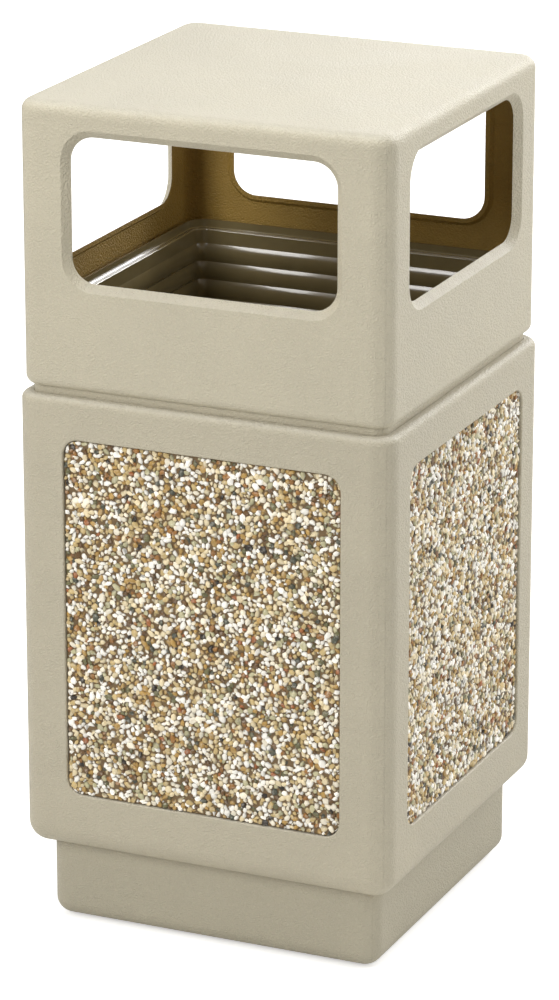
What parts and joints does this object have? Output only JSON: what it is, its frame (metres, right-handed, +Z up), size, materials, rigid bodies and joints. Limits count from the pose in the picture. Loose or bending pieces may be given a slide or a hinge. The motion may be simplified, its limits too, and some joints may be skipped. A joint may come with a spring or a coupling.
{
  "type": "litter bin",
  "caption": "Square litter bin with an open window in each side of a lift-off hood, stone-faced body panels, a lift-out liner and a plinth.",
  "frame": {"origin": "on the ground under the middle of the bin", "axes": "+Z up, front side faces -Y, +X to the right seen from the front"},
  "size_m": [0.464, 0.464, 0.997],
  "materials": {
    "moulded_shell": "fine moulded grain, warm grey-beige",
    "panel_board": "plain backing board",
    "aggregate": "bonded river pebbles, cream, tan, ochre and grey",
    "liner": "dark olive-brown rigid liner, semi-gloss",
    "fasteners": "zinc plated",
    "rubber_feet": "black rubber"
  },
  "bodies": {
    "base": {"body_shell": "moulded_shell", "plinth_shell": "moulded_shell", "panel_board_front": "panel_board", "panel_board_right": "panel_board", "panel_board_back": "panel_board", "panel_board_left": "panel_board", "aggregate_front": "aggregate", "aggregate_right": "aggregate", "aggregate_back": "aggregate", "aggregate_left": "aggregate", "panel_screws": "fasteners", "panel_washers": "fasteners", "plinth_bolts": "fasteners", "plinth_washers": "fasteners", "plinth_nuts": "fasteners", "foot_front_left": "rubber_feet", "foot_front_right": "rubber_feet", "foot_back_left": "rubber_feet", "foot_back_right": "rubber_feet", "foot_screws": "fasteners"},
    "liner": {"liner_shell": "liner"},
    "hood": {"hood_shell": "moulded_shell"}
  },
  "joints": [
    {"name": "liner_lift", "type": "slide", "parent": "base", "child": "liner", "axis": [0, 0, 1], "range_m": [0, 0.56]},
    {"name": "hood_lift", "type": "slide", "parent": "liner", "child": "hood", "axis": [0, 0, 1], "range_m": [0, 0.25]}
  ]
}
